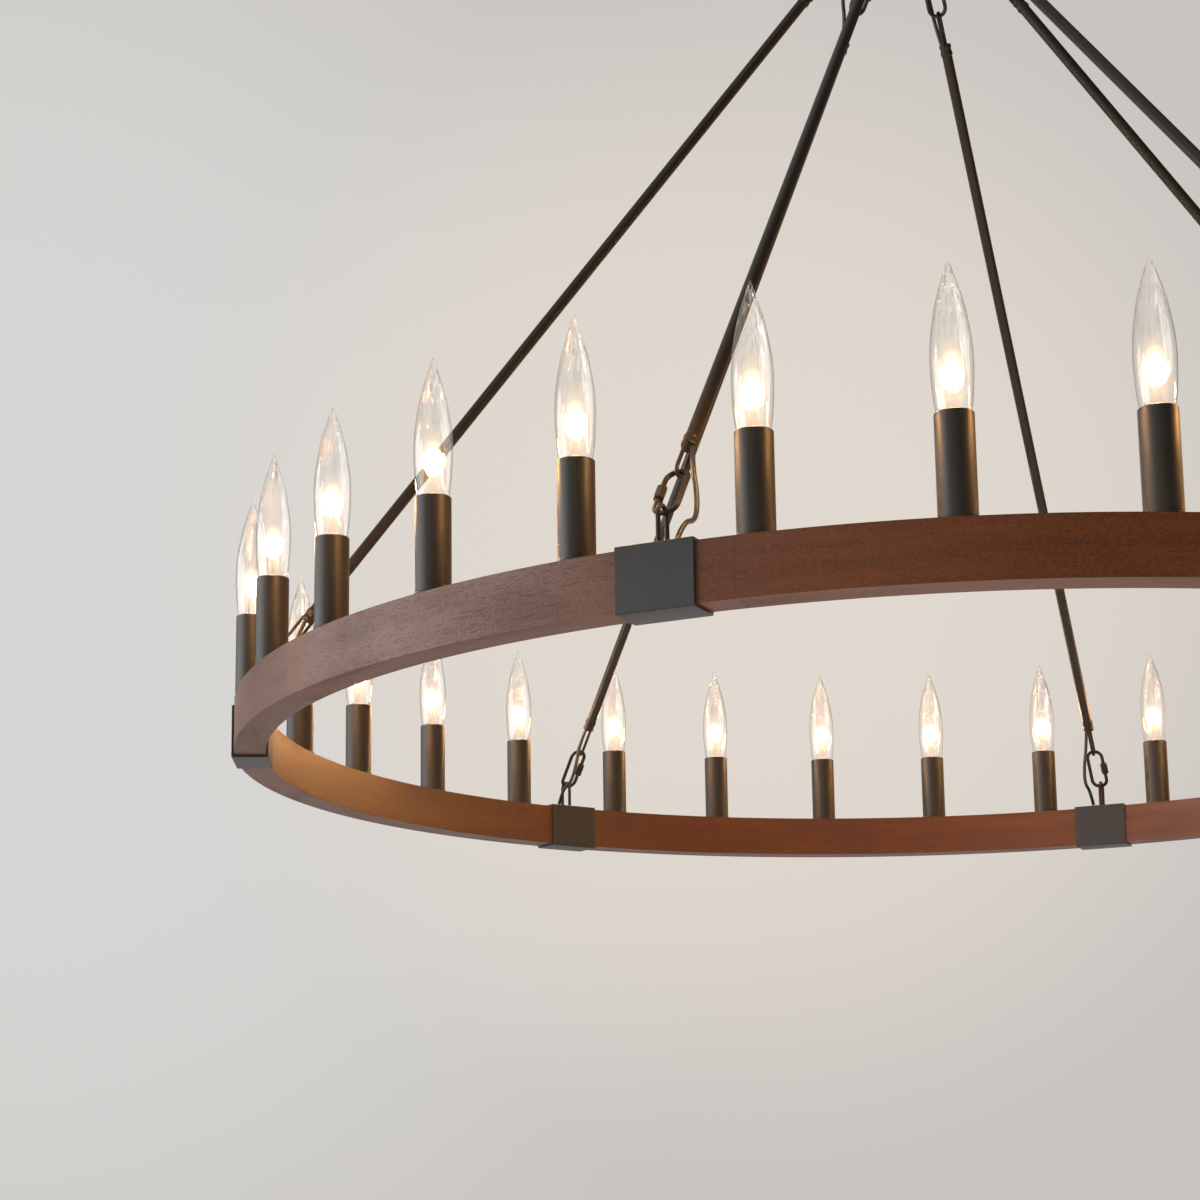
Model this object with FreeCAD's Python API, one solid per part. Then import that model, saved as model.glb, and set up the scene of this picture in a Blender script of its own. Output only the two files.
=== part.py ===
import FreeCAD, Part
import os
from math import asin, cos, degrees, hypot, pi, radians, sin, tan

V = FreeCAD.Vector

# Wagon wheel chandelier: a timber ring with thirty candle lamps, hung by six rods from a hub.
# Millimetres, +Z up. The origin is the centre of the ceiling face of the crossbar, and everything hangs below it.
# The six rods stand at 0, 60, 120 ... degrees. u is the distance from the ring's axis, t runs round the ring.

# ---------------------------------------------------------------- driving dimensions
# Timber ring
ring_outer_radius = 750.0
ring_width = 32.0
ring_height = 50.0
segment_count = 9
first_seam_degrees = 5.0

# Candle lamps
candle_count = 30
sleeve_radius = 15.5
sleeve_wall = 1.2
sleeve_height = 85.0
socket_radius = 9.0
bulb_base_radius = 6.0
bulb_base_height = 18.0
bulb_neck_depth = 7.0
bulb_radius = 17.4
bulb_glass_height = 131.0
# Bulb outline, bottom to top: (share of the glass height, share of the bulb radius)
bulb_outline = [(0.0, 0.62), (0.36, 1.0), (0.72, 0.70), (1.0, 0.06)]

# Clamps that hold the ring
arm_count = 6
clamp_length = 67.0
clamp_wall = 2.5
clamp_clearance = 0.1
screw_spacing = 48.0
screw_head_radius = 4.0
screw_head_height = 2.6
loop_wire_radius = 2.0
loop_bend_radius = 8.5
loop_rise = 25.2

# Suspension rods
hub_loop_radius = 65.0
hub_rise = 876.3
rod_radius = 4.75
rod_wall = 1.0
eye_wire_radius = 1.75
eye_width = 15.0
eye_length = 37.0
cap_radius = 7.0
cap_length = 14.0

# Quick links
link_wire_radius = 2.25
link_length = 58.0
link_width = 24.0
link_nut_length = 16.0
link_nut_flats = 8.0
seat_gap = 0.1

# Lamp wires, with the grommets that they enter
wire_radius = 2.2
wire_exit_offset = 3.8
grommet_radius = 4.4
grommet_height = 3.0
grommet_offset = 11.5
wire_clearance = 0.1
# Middle of a lamp wire's route, which hangs from the rod's cap: (in from the candles, round the ring, above it)
wire_route = [(45.0, 7.0, 82.0), (43.0, 12.0, 52.0), (33.0, 14.0, 30.0), (12.0, 13.0, 25.0)]

# Hub
hub_radius = 95.0
hub_height = 30.0
hub_shoulder = 12.0
hub_wall = 1.5
hub_plate_thickness = 3.0
hub_stem_radius = 5.0
finial_radius = 11.0
finial_height = 17.0

# Chain and the two loops that carry it
chain_wire_radius = 2.5
chain_link_length = 45.0
chain_link_width = 24.0
chain_links = 3
chain_clearance = 0.3
collar_radius = 9.0
collar_height = 16.0
collar_loop_width = 25.0
collar_loop_leg = 12.0

# Ceiling canopy
canopy_radius = 70.0
canopy_depth = 38.0
canopy_shoulder = 8.0
canopy_floor_radius = 52.0
canopy_wall = 1.5
crossbar_length = 110.0
crossbar_width = 20.0
crossbar_thickness = 2.5
crossbar_hole_spacing = 88.9
crossbar_hole_radius = 2.4
stem_radius = 5.0
stem_bore_radius = 3.2
stem_clearance = 0.05
stem_grip = 9.0
stem_nut_flats = 16.0
stem_nut_height = 5.0
ring_nut_radius = 15.0
ring_nut_height = 5.0

# Sides of turned parts and bent bars: small parts that repeat many times get few
hex_side_count = 6
candle_side_count = 8
small_side_count = 10
large_side_count = 24
bar_side_count = 6
cord_side_count = 4
chain_side_count = 8

# ---------------------------------------------------------------- derived places
socket_height = sleeve_height - bulb_neck_depth - bulb_base_height
ring_inner_radius = ring_outer_radius - ring_width
candle_circle_radius = ring_outer_radius - ring_width / 2
clamp_top = clamp_wall
bend_centre_z = clamp_top + loop_rise
low_bend = V(candle_circle_radius, 0, bend_centre_z)
high_bend = V(hub_loop_radius, 0, bend_centre_z + hub_rise)
pull = (high_bend - low_bend).normalize()
pull_length = (high_bend - low_bend).Length
tangent = V(0, 1, 0)
across = tangent.cross(pull)
hub_underside = high_bend.z + loop_rise
hub_top = hub_underside + hub_plate_thickness + hub_height

link_half_width = link_width / 2 - link_wire_radius
link_centre_length = link_length - 2 * link_wire_radius
link_low = loop_bend_radius - loop_wire_radius - link_wire_radius - seat_gap
link_high = link_low + link_centre_length
eye_half_width = eye_width / 2 - eye_wire_radius
eye_low = link_high - link_wire_radius - eye_wire_radius - seat_gap
cap_low = eye_low + eye_length
cap_high = cap_low + cap_length

chain_half_width = chain_link_width / 2 - chain_wire_radius
chain_centre_length = chain_link_length - 2 * chain_wire_radius
chain_step = 2 * chain_wire_radius + chain_clearance
collar_half_width = collar_loop_width / 2 - chain_wire_radius
canopy_bar_z = -(canopy_depth + ring_nut_height + collar_height + collar_loop_leg + collar_half_width)
hub_bar_z = canopy_bar_z + chain_step - chain_links * (chain_centre_length - chain_step)
hub_bar_height = hub_top + collar_height + collar_loop_leg + collar_half_width
ring_top_z = hub_bar_z - hub_bar_height


# ---------------------------------------------------------------- form helpers
def solid_of(faces):
    """One closed solid from planar faces that share their edges."""
    skin = Part.makeCompound(faces)
    skin.sewShape()
    solid = Part.makeSolid(skin.Shells[0])
    if solid.Volume < 0:
        solid.reverse()
    return solid


def flat_face(corners):
    return Part.Face(Part.makePolygon(corners + [corners[0]]))


def banded_solid(rings, closed):
    """Solid whose walls join each ring of corners to the next one."""
    faces = []
    count = len(rings[0])
    pairs = list(zip(rings, rings[1:]))
    if closed:
        pairs.append((rings[-1], rings[0]))
    for low, high in pairs:
        for i in range(count):
            j = (i + 1) % count
            faces.append(flat_face([low[i], low[j], high[j], high[i]]))
    if not closed:
        faces += [flat_face(rings[0]), flat_face(rings[-1])]
    return solid_of(faces)


def turned(outline, sides, bored=False):
    """Turned part on the Z axis from (radius, height) pairs; a bored one has a closed outline."""
    rings = []
    for radius, height in outline:
        turns = [2 * pi * (i + 0.5) / sides for i in range(sides)]
        rings.append([V(radius * cos(a), radius * sin(a), height) for a in turns])
    return banded_solid(rings, bored)


def bent_bar(path, normal, bar_radius, sides, closed=False):
    """Bar of a given wire radius along a flat path, mitred at each corner."""
    count = len(path)
    last = count if closed else count - 1
    offsets = [normal.cross(path[(i + 1) % count] - path[i]).normalize() for i in range(last)]
    corner_radius = bar_radius / cos(pi / sides)
    rings = []
    for i, point in enumerate(path):
        before = offsets[i - 1] if closed or i > 0 else offsets[0]
        after = offsets[i] if closed or i < count - 1 else offsets[-1]
        mitre = (before + after) * (1 / (1 + before.dot(after)))
        ring = []
        for k in range(sides):
            a = 2 * pi * (k + 0.5) / sides
            ring.append(point + mitre * (corner_radius * cos(a)) + normal * (corner_radius * sin(a)))
        rings.append(ring)
    return banded_solid(rings, closed)


def bend_corners(centre, right, up, radius, degrees_):
    """Corners of a bend that is laid outside a circle, tangent to it at each of these angles."""
    corners = []
    for a, b in zip(degrees_, degrees_[1:]):
        middle = radians((a + b) / 2)
        reach = radius / cos(radians((a - b) / 2))
        corners.append(centre + right * (reach * cos(middle)) + up * (reach * sin(middle)))
    return corners


def along(shape, start, direction):
    """Moves a part that was made on the Z axis, so that it stands at start along direction."""
    turn = FreeCAD.Rotation(V(0, 0, 1), direction)
    moved = shape.copy()
    moved.Placement = FreeCAD.Placement(start, turn).multiply(moved.Placement)
    return moved


def hex_bar(across_flats, height):
    corner = across_flats / 2 / cos(pi / hex_side_count)
    return turned([(corner, 0), (corner, height)], hex_side_count)


def turned_about_z(shape, degrees_):
    copy = shape.copy()
    copy.rotate(V(0, 0, 0), V(0, 0, 1), degrees_)
    return copy


def round_the_ring(shape, count, first_degrees=0.0):
    return [turned_about_z(shape, first_degrees + 360.0 / count * i) for i in range(count)]


def end_for_end(shape):
    """The hub end of a rod is its ring end turned over about the middle of the pull line."""
    copy = shape.copy()
    copy.rotate((low_bend + high_bend) * 0.5, tangent, 180)
    return copy


def on_pull_line(distance, sideways=0.0):
    return low_bend + pull * distance + tangent * sideways


# ---------------------------------------------------------------- ring
def ring_segment(index):
    """One timber arc; its end faces butt against its neighbours."""
    sweep = 360.0 / segment_count
    outer = Part.makeCylinder(ring_outer_radius, ring_height, V(0, 0, -ring_height), V(0, 0, 1), sweep)
    inner = Part.makeCylinder(ring_inner_radius, ring_height, V(0, 0, -ring_height), V(0, 0, 1), sweep)
    return turned_about_z(outer.cut(inner), first_seam_degrees + sweep * index)


def ring_clamp():
    """Square steel sleeve round the timber."""
    half = clamp_length / 2
    inner_reach = ring_inner_radius * cos(asin(half / ring_inner_radius)) - clamp_clearance
    outer_reach = ring_outer_radius + clamp_clearance
    wall = clamp_wall
    block = Part.makeBox(
        outer_reach - inner_reach + 2 * wall, clamp_length, ring_height + 2 * wall,
        V(inner_reach - wall, -half, -ring_height - wall))
    opening = Part.makeBox(outer_reach - inner_reach, clamp_length, ring_height, V(inner_reach, -half, -ring_height))
    return block.cut(opening)


def clamp_screws():
    """Two domed screw heads on the top of a clamp."""
    head = turned([(screw_head_radius, 0), (0.6 * screw_head_radius, screw_head_height)], bar_side_count)
    heads = []
    for side in (-1, 1):
        heads.append(along(head, V(candle_circle_radius, side * screw_spacing / 2, clamp_top), V(0, 0, 1)))
    return heads


def suspension_loop():
    """U-shaped loop on a clamp, in the radial plane, with a flat square to the pull of the rod."""
    right = V(1, 0, 0)
    up = V(0, 0, 1)
    lean = 90 + degrees(up.getAngle(pull))
    bend = bend_corners(low_bend, right, up, loop_bend_radius, [180, lean, 90, 180 - lean, 0])
    left_foot = V(low_bend.x - loop_bend_radius, 0, clamp_top)
    right_foot = V(low_bend.x + loop_bend_radius, 0, clamp_top)
    return bent_bar([left_foot] + bend + [right_foot], tangent, loop_wire_radius, bar_side_count)


def wire_grommet():
    grommet = turned([(grommet_radius, 0), (0.7 * grommet_radius, grommet_height)], bar_side_count)
    return along(grommet, V(candle_circle_radius, grommet_offset, clamp_top), V(0, 0, 1))


# ---------------------------------------------------------------- candles
def candle_sleeve():
    inner = sleeve_radius - sleeve_wall
    tube = [(sleeve_radius, 0), (sleeve_radius, sleeve_height), (inner, sleeve_height), (inner, 0)]
    return turned(tube, candle_side_count, bored=True)


def lamp_socket():
    return turned([(socket_radius, 0), (socket_radius, socket_height)], hex_side_count)


def bulb_base():
    top = socket_height + bulb_base_height
    return turned([(bulb_base_radius, socket_height), (bulb_base_radius, top)], hex_side_count)


def bulb_glass():
    foot = socket_height + bulb_base_height
    outline = [(share * bulb_radius, foot + rise * bulb_glass_height) for rise, share in bulb_outline]
    return turned(outline, candle_side_count)


def at_each_candle(shape):
    seat = shape.copy()
    seat.translate(V(candle_circle_radius, 0, 0))
    return round_the_ring(seat, candle_count, 180.0 / candle_count)


# ---------------------------------------------------------------- suspension
def quick_link():
    """Oval link, open on one side where its nut closes it."""
    middle = (link_low + link_high) / 2
    straight = link_centre_length / 2 - link_half_width
    top = bend_corners(
        on_pull_line(middle + straight), tangent, pull, link_half_width, [180, 120, 60, 0])
    bottom = bend_corners(
        on_pull_line(middle - straight), tangent, pull, link_half_width, [0, -60, -120, -180])
    gap_top = on_pull_line(middle + link_nut_length / 2, -link_half_width)
    gap_bottom = on_pull_line(middle - link_nut_length / 2, -link_half_width)
    return bent_bar([gap_top] + top + bottom + [gap_bottom], across, link_wire_radius, bar_side_count)


def quick_link_nut():
    middle = (link_low + link_high) / 2
    start = on_pull_line(middle - link_nut_length / 2, -link_half_width)
    return along(hex_bar(link_nut_flats, link_nut_length), start, pull)


def rod_eye():
    """Cap on the end of a rod, with the long eye that the quick link passes through."""
    bend_centre = on_pull_line(eye_low + eye_half_width)
    bend = bend_corners(bend_centre, across, pull, eye_half_width, [0, -60, -120, -180])
    right_root = on_pull_line(cap_low) + across * eye_half_width
    left_root = on_pull_line(cap_low) - across * eye_half_width
    eye = bent_bar([right_root] + bend + [left_root], tangent, eye_wire_radius, bar_side_count)
    cap = along(turned([(cap_radius, 0), (cap_radius, cap_length)], candle_side_count), on_pull_line(cap_low), pull)
    return eye.fuse(cap)


def rod():
    length = pull_length - 2 * cap_high
    bore = rod_radius - rod_wall
    tube = turned([(rod_radius, 0), (rod_radius, length), (bore, length), (bore, 0)], small_side_count, bored=True)
    return along(tube, on_pull_line(cap_high), pull)


def rounded_route(points):
    """Straight runs joined by tangent arcs, with the radii of the arcs."""
    edges = []
    radii = []
    start = points[0]
    for before, corner, after in zip(points, points[1:], points[2:]):
        back = before - corner
        forth = after - corner
        half_turn = (pi - back.getAngle(forth)) / 2
        trim = 0.45 * min(back.Length, forth.Length)
        radius = trim / tan(half_turn)
        first = corner + back * (trim / back.Length)
        last = corner + forth * (trim / forth.Length)
        inward = (back.normalize() + forth.normalize()).normalize()
        middle = corner + inward * (hypot(radius, trim) - radius)
        edges.append(Part.LineSegment(start, first).toShape())
        edges.append(Part.Arc(first, middle, last).toShape())
        radii.append(radius)
        start = last
    edges.append(Part.LineSegment(start, points[-1]).toShape())
    return Part.Wire(edges), radii


def stood_off(end, neighbour, face_normal):
    """Draws the end of a wire back along its run, until its square end just clears the face that it meets."""
    run = (end - neighbour).normalize()
    tilt = run.getAngle(-face_normal)
    return end - run * (wire_radius * tan(tilt) + wire_clearance)


def lamp_wire():
    """Wire that hangs from the cap of a rod, and then sweeps outward to the grommet on the clamp."""
    middle = [V(candle_circle_radius - inward, round_ring, above) for inward, round_ring, above in wire_route]
    leave = stood_off(on_pull_line(cap_low, wire_exit_offset), middle[0], pull * -1)
    enter = stood_off(V(candle_circle_radius, grommet_offset, clamp_top + grommet_height), middle[-1], V(0, 0, 1))
    points = [leave] + middle + [enter]
    path, radii = rounded_route(points)
    first_run = (points[1] - points[0]).normalize()
    side = tangent.cross(first_run).normalize()
    up = first_run.cross(side)
    corners = []
    for k in range(cord_side_count):
        a = 2 * pi * (k + 0.5) / cord_side_count
        corners.append(leave + side * (wire_radius * cos(a)) + up * (wire_radius * sin(a)))
    section = Part.makePolygon(corners + [corners[0]])
    return path.makePipeShell([section], True, False), path.Length, radii


# ---------------------------------------------------------------- hub
def hub_plate():
    hole = hub_stem_radius + stem_clearance
    edge = hub_radius - hub_wall - stem_clearance
    base = hub_underside
    top = base + hub_plate_thickness
    return turned([(edge, base), (edge, top), (hole, top), (hole, base)], large_side_count, bored=True)


def hub_housing():
    """Shallow pressed cup over the hub plate."""
    low = hub_underside
    inner_top = hub_top - hub_wall
    hole = hub_stem_radius + stem_clearance
    lip = hub_radius - hub_wall
    crown = hub_radius - hub_shoulder
    outline = [
        (hub_radius, low), (hub_radius, hub_top - hub_shoulder), (crown, hub_top), (hole, hub_top),
        (hole, inner_top), (crown - hub_wall / 2, inner_top), (lip, hub_top - hub_shoulder - hub_wall / 2),
        (lip, low)]
    return turned(outline, large_side_count, bored=True)


def hub_stem():
    """Hollow threaded rod through the hub, from the finial to the collar loop."""
    foot = hub_underside - finial_height / 2
    top = hub_top + collar_height / 2
    outline = [
        (hub_stem_radius, foot), (hub_stem_radius, top), (stem_bore_radius, top), (stem_bore_radius, foot)]
    return turned(outline, small_side_count, bored=True)


def hub_finial():
    top = hub_underside
    hole_top = finial_height / 2
    outline = [
        (finial_radius, top), (finial_radius, top - 0.25 * finial_height),
        (0.8 * finial_radius, top - 0.7 * finial_height), (0.3 * finial_radius, top - finial_height)]
    body = turned(outline, small_side_count)
    return body.cut(turned([(hub_stem_radius, top - hole_top), (hub_stem_radius, top)], small_side_count))


# ---------------------------------------------------------------- chain
def collar_loop():
    """Collar with a closed loop above it; its bar lies along X. Made with the collar's foot at the origin."""
    centre = V(0, 0, collar_height + collar_loop_leg)
    bend = bend_corners(centre, V(1, 0, 0), V(0, 0, 1), collar_half_width, [180, 135, 90, 45, 0])
    left_foot = V(-collar_half_width, 0, 0.5 * collar_height)
    right_foot = V(collar_half_width, 0, 0.5 * collar_height)
    loop = bent_bar([left_foot] + bend + [right_foot], V(0, 1, 0), chain_wire_radius, chain_side_count)
    waist = 0.45 * collar_height
    shoulder = collar_half_width + chain_wire_radius
    collar = turned([
        (collar_radius, 0), (collar_radius, waist), (shoulder, 0.6 * collar_height),
        (shoulder, collar_height), (collar_radius, collar_height)], small_side_count)
    cord_hole = turned([(stem_bore_radius, 0), (stem_bore_radius, collar_height)], small_side_count)
    return collar.fuse(loop).cut(cord_hole)


def hub_loop():
    body = collar_loop()
    body = body.cut(turned([(hub_stem_radius, 0), (hub_stem_radius, collar_height / 2)], small_side_count))
    body.translate(V(0, 0, hub_top))
    return body


def canopy_loop():
    body = collar_loop()
    body = body.cut(turned([(stem_radius, 0), (stem_radius, stem_grip)], small_side_count))
    body.rotate(V(0, 0, 0), V(1, 0, 0), 180)
    body.translate(V(0, 0, -canopy_depth - ring_nut_height))
    return body


def chain_link(index):
    """Oval link; the odd ones lie in the YZ plane and the even ones in the XZ plane."""
    right, normal = (V(0, 1, 0), V(-1, 0, 0)) if index % 2 else (V(1, 0, 0), V(0, 1, 0))
    up = V(0, 0, 1)
    high = canopy_bar_z + chain_step - (index - 1) * (chain_centre_length - chain_step)
    low = high - chain_centre_length
    top = bend_corners(V(0, 0, high - chain_half_width), right, up, chain_half_width, [180, 135, 90, 45, 0])
    bottom = bend_corners(V(0, 0, low + chain_half_width), right, up, chain_half_width, [0, -45, -90, -135, -180])
    return bent_bar(top + bottom, normal, chain_wire_radius, chain_side_count, closed=True)


# ---------------------------------------------------------------- ceiling canopy
def canopy():
    """Dish with its open rim against the ceiling."""
    hole = stem_radius + stem_clearance
    floor = -canopy_depth
    rim = canopy_radius - canopy_wall
    outline = [
        (canopy_radius, 0), (rim, 0), (rim, -canopy_shoulder + canopy_wall / 2),
        (canopy_floor_radius - canopy_wall / 2, floor + canopy_wall), (hole, floor + canopy_wall),
        (hole, floor), (canopy_floor_radius, floor), (canopy_radius, -canopy_shoulder)]
    return turned(outline, large_side_count, bored=True)


def crossbar():
    """Steel bar that is screwed to the ceiling box and holds the stem."""
    bar = Part.makeBox(
        crossbar_length, crossbar_width, crossbar_thickness,
        V(-crossbar_length / 2, -crossbar_width / 2, -crossbar_thickness))
    down = V(0, 0, -1)
    stem_hole = stem_radius + stem_clearance
    bar = bar.cut(turned([(stem_hole, -crossbar_thickness), (stem_hole, 0)], small_side_count))
    for side in (-1, 1):
        place = V(side * crossbar_hole_spacing / 2, 0, 0)
        bar = bar.cut(Part.makeCylinder(crossbar_hole_radius, crossbar_thickness, place, down))
    return bar


def stem():
    top = 0
    foot = -canopy_depth - ring_nut_height - stem_grip
    outline = [(stem_radius, foot), (stem_radius, top), (stem_bore_radius, top), (stem_bore_radius, foot)]
    return turned(outline, small_side_count, bored=True)


def stem_nut():
    nut = hex_bar(stem_nut_flats, stem_nut_height)
    nut = nut.cut(turned([(stem_radius, 0), (stem_radius, stem_nut_height)], small_side_count))
    nut.translate(V(0, 0, -crossbar_thickness - stem_nut_height))
    return nut


def canopy_ring_nut():
    top = -canopy_depth
    low = top - ring_nut_height
    outline = [
        (ring_nut_radius, low), (ring_nut_radius, top), (stem_radius, top), (stem_radius, low)]
    return turned(outline, small_side_count, bored=True)


# ---------------------------------------------------------------- the files
def save(name, solids, lift=0.0):
    shape = solids[0].copy() if len(solids) == 1 else Part.makeCompound(solids)
    shape.translate(V(0, 0, lift))
    shape.exportStep("parts/" + name + ".step")


def save_arms(name, shape):
    save(name, round_the_ring(shape, arm_count), ring_top_z)


def main():
    os.makedirs("parts", exist_ok=True)

    for i in range(segment_count):
        save("ring_segment_%d" % (i + 1), [ring_segment(i)], ring_top_z)

    for i, clamp in enumerate(round_the_ring(ring_clamp(), arm_count)):
        save("ring_clamp_%d" % (i + 1), [clamp], ring_top_z)
    for i, tube in enumerate(round_the_ring(rod(), arm_count)):
        save("rod_%d" % (i + 1), [tube], ring_top_z)

    screws = Part.makeCompound(clamp_screws())
    save("clamp_screws", [s for c in round_the_ring(screws, arm_count) for s in c.Solids], ring_top_z)
    save("candle_sleeves", at_each_candle(candle_sleeve()), ring_top_z)
    save("lamp_sockets", at_each_candle(lamp_socket()), ring_top_z)
    save("bulb_bases", at_each_candle(bulb_base()), ring_top_z)
    save("bulbs", at_each_candle(bulb_glass()), ring_top_z)

    wire, wire_length, radii = lamp_wire()
    print("lamp wire length: %.1f" % wire_length)
    print("lamp wire arc radii: " + ", ".join("%.1f" % r for r in radii))
    both_ends = [w for end in (wire, end_for_end(wire)) for w in round_the_ring(end, arm_count)]
    save("lamp_wires", both_ends, ring_top_z)
    low_end = {
        "loops": suspension_loop(), "grommets": wire_grommet(), "quick_links": quick_link(),
        "link_nuts": quick_link_nut(), "rod_eyes": rod_eye()}
    for name, shape in low_end.items():
        save_arms("ring_" + name, shape)
        save_arms("hub_" + name, end_for_end(shape))

    save("hub_plate", [hub_plate()], ring_top_z)
    save("hub_housing", [hub_housing()], ring_top_z)
    save("hub_stem", [hub_stem()], ring_top_z)
    save("hub_finial", [hub_finial()], ring_top_z)
    save("hub_top_loop", [hub_loop()], ring_top_z)

    for i in range(chain_links):
        save("chain_link_%d" % (i + 1), [chain_link(i + 1)])
    save("canopy_loop", [canopy_loop()])
    save("canopy_ring_nut", [canopy_ring_nut()])
    save("canopy", [canopy()])
    save("stem", [stem()])
    save("stem_nut", [stem_nut()])
    save("crossbar", [crossbar()])


main()
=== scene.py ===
from math import asin, cos, pi, radians, sin, tan

import bmesh
import bpy
from mathutils import Matrix, Vector


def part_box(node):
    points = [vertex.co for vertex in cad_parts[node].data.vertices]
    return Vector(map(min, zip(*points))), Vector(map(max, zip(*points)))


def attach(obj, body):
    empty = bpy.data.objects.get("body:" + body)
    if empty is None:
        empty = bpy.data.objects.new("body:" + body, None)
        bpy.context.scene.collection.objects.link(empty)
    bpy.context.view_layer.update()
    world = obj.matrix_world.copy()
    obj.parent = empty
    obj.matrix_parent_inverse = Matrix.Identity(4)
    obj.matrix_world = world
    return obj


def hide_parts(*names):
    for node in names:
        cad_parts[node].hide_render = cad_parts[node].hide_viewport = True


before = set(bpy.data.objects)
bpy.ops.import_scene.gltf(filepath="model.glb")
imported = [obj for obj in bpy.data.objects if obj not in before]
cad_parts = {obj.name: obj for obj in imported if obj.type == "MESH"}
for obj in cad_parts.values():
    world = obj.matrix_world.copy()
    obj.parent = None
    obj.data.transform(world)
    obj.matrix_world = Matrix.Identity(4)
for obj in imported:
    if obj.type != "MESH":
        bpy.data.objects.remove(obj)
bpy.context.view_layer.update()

# ---------------------------------------------------------------- sizes, in metres
# A name that ends in _edge is the radius of a rounded edge.
BODY = "fixture"
ring_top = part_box("ring_segment_1")[1][2]

ring_outer_radius = 0.750
ring_width = 0.032
ring_height = 0.050
candle_circle = ring_outer_radius - ring_width / 2
candle_count = 30
arm_count = 6
segment_count = 9
first_seam_degrees = 5.0
seam_half_width = 0.0004

sleeve_radius = 0.0155
sleeve_wall = 0.0012
sleeve_height = 0.085
sleeve_lip = 0.0004
foot_ring_radius = 0.0164
foot_ring_height = 0.0018

bulb_foot = 0.078
bulb_radius = 0.0169
bulb_height = 0.131
bulb_tip_rise = 0.0004
bulb_wall = 0.0007
# Torpedo lamp, as (share of its height, share of its radius)
bulb_outline = [
    (0.0, 0.55), (0.02, 0.68), (0.053, 0.80), (0.12, 0.89), (0.19, 0.94), (0.296, 0.987),
    (0.375, 1.0), (0.45, 0.98), (0.517, 0.94), (0.583, 0.87), (0.65, 0.785), (0.716, 0.69),
    (0.785, 0.555), (0.85, 0.41), (0.915, 0.24), (0.98, 0.085), (1.0, 0.03)]
stem_neck = bulb_foot + 0.006
stem_top = bulb_foot + 0.030
filament_foot = bulb_foot + 0.047
filament_half_span = 0.0052
filament_rise = 0.0035
filament_radius = 0.00075
lead_radius = 0.0003
lamp_to_lamp_radians = 2.4
glow_height = 0.1275
glow_core_radius = 0.0104
glow_core_half_height = 0.0130
lamp_watts = 0.9
lamp_light_radius = 0.012

clamp_length = 0.067
clamp_wall = 0.0025
clamp_clearance = 0.0001
clamp_bend = 0.0012
clamp_inner_bend = 0.0002
clamp_chamfer = 0.0003

screw_spacing = 0.048
screw_radius = 0.004
screw_height = 0.0026
strip_screw_radius = 0.72 * screw_radius
strip_screw_height = 0.8 * screw_height
clamp_to_strip_screw_degrees = 3.7
# Domed head with its recess, as (share of its radius, share of its height)
screw_outline = [
    (0, 0.45), (0.26, 0.45), (0.34, 0.97), (0.62, 0.86), (0.86, 0.60), (1, 0.22), (1, 0), (0, 0)]

loop_wire = 0.002
loop_bend = 0.0085
loop_rise = 0.0252
hub_loop_radius = 0.065
hub_rise = 0.8763
rod_radius = 0.0060
eye_wire = 0.00175
eye_width = 0.015
eye_length = 0.037
eye_leg_share_of_cap = 0.3
cap_radius = 0.007
cap_length = 0.014
cap_edge = 0.0006
cap_outline = [
    (0, 0), (0.90, 0), (1, 0.10), (1, 0.28), (0.90, 0.36),
    (0.90, 0.58), (1, 0.66), (1, 0.90), (0.86, 1), (0, 1)]
link_wire = 0.00225
link_length = 0.058
link_width = 0.024
link_nut_length = 0.016
link_nut_flats = 0.008
link_gap_share_of_nut = 0.8
seat_gap = 0.0001

wire_radius = 0.0022
wire_clearance = 0.0001
wire_exit_offset = 0.0038
grommet_radius = 0.0044
grommet_height = 0.003
grommet_offset = 0.0115
grommet_edge = 0.0008
grommet_outline = [(0, 0), (1, 0), (1, 0.5), (0.7, 1), (0, 1)]
# Middle of a lamp wire's route from the rod's cap to the grommet, as distances inward from the
# circle of candles, round the ring, and above it
wire_route = [
    (0.045, 0.007, 0.082), (0.043, 0.012, 0.052), (0.033, 0.014, 0.030), (0.012, 0.013, 0.025)]

hub_radius = 0.095
hub_depth = 0.030
hub_plate_thickness = 0.003
hub_shoulder = 0.012
hub_edge = 0.006
housing_wall = 0.0015
stem_hole = 0.00505
finial_radius = 0.011
finial_height = 0.017
finial_edge = 0.003
finial_outline = [(0, 0), (1, 0), (1, 0.25), (0.8, 0.7), (0.3, 1), (0, 1)]

chain_count = 3
chain_wire = 0.0025
chain_link_width = 0.024
collar_radius = 0.009
collar_height = 0.016
collar_bore = 0.0034
collar_leg = 0.012
collar_edge = 0.0012
collar_shoulder = 0.0125
collar_leg_foot_share = 0.7

canopy_radius = 0.070
canopy_depth = 0.038
canopy_rim = 0.008
canopy_floor_radius = 0.052
canopy_edge = 0.005
ring_nut_radius = 0.015
ring_nut_bore = 0.0052
ring_nut_height = 0.005
ring_nut_edge = 0.001

# ---------------------------------------------------------------- places on an arm along +X
right, tangent, up = Vector((1, 0, 0)), Vector((0, 1, 0)), Vector((0, 0, 1))
bend_centre_z = clamp_wall + loop_rise
low_bend = Vector((candle_circle, 0, bend_centre_z))
high_bend = Vector((hub_loop_radius, 0, bend_centre_z + hub_rise))
pull = (high_bend - low_bend).normalized()
pull_length = (high_bend - low_bend).length
across = tangent.cross(pull)

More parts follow.
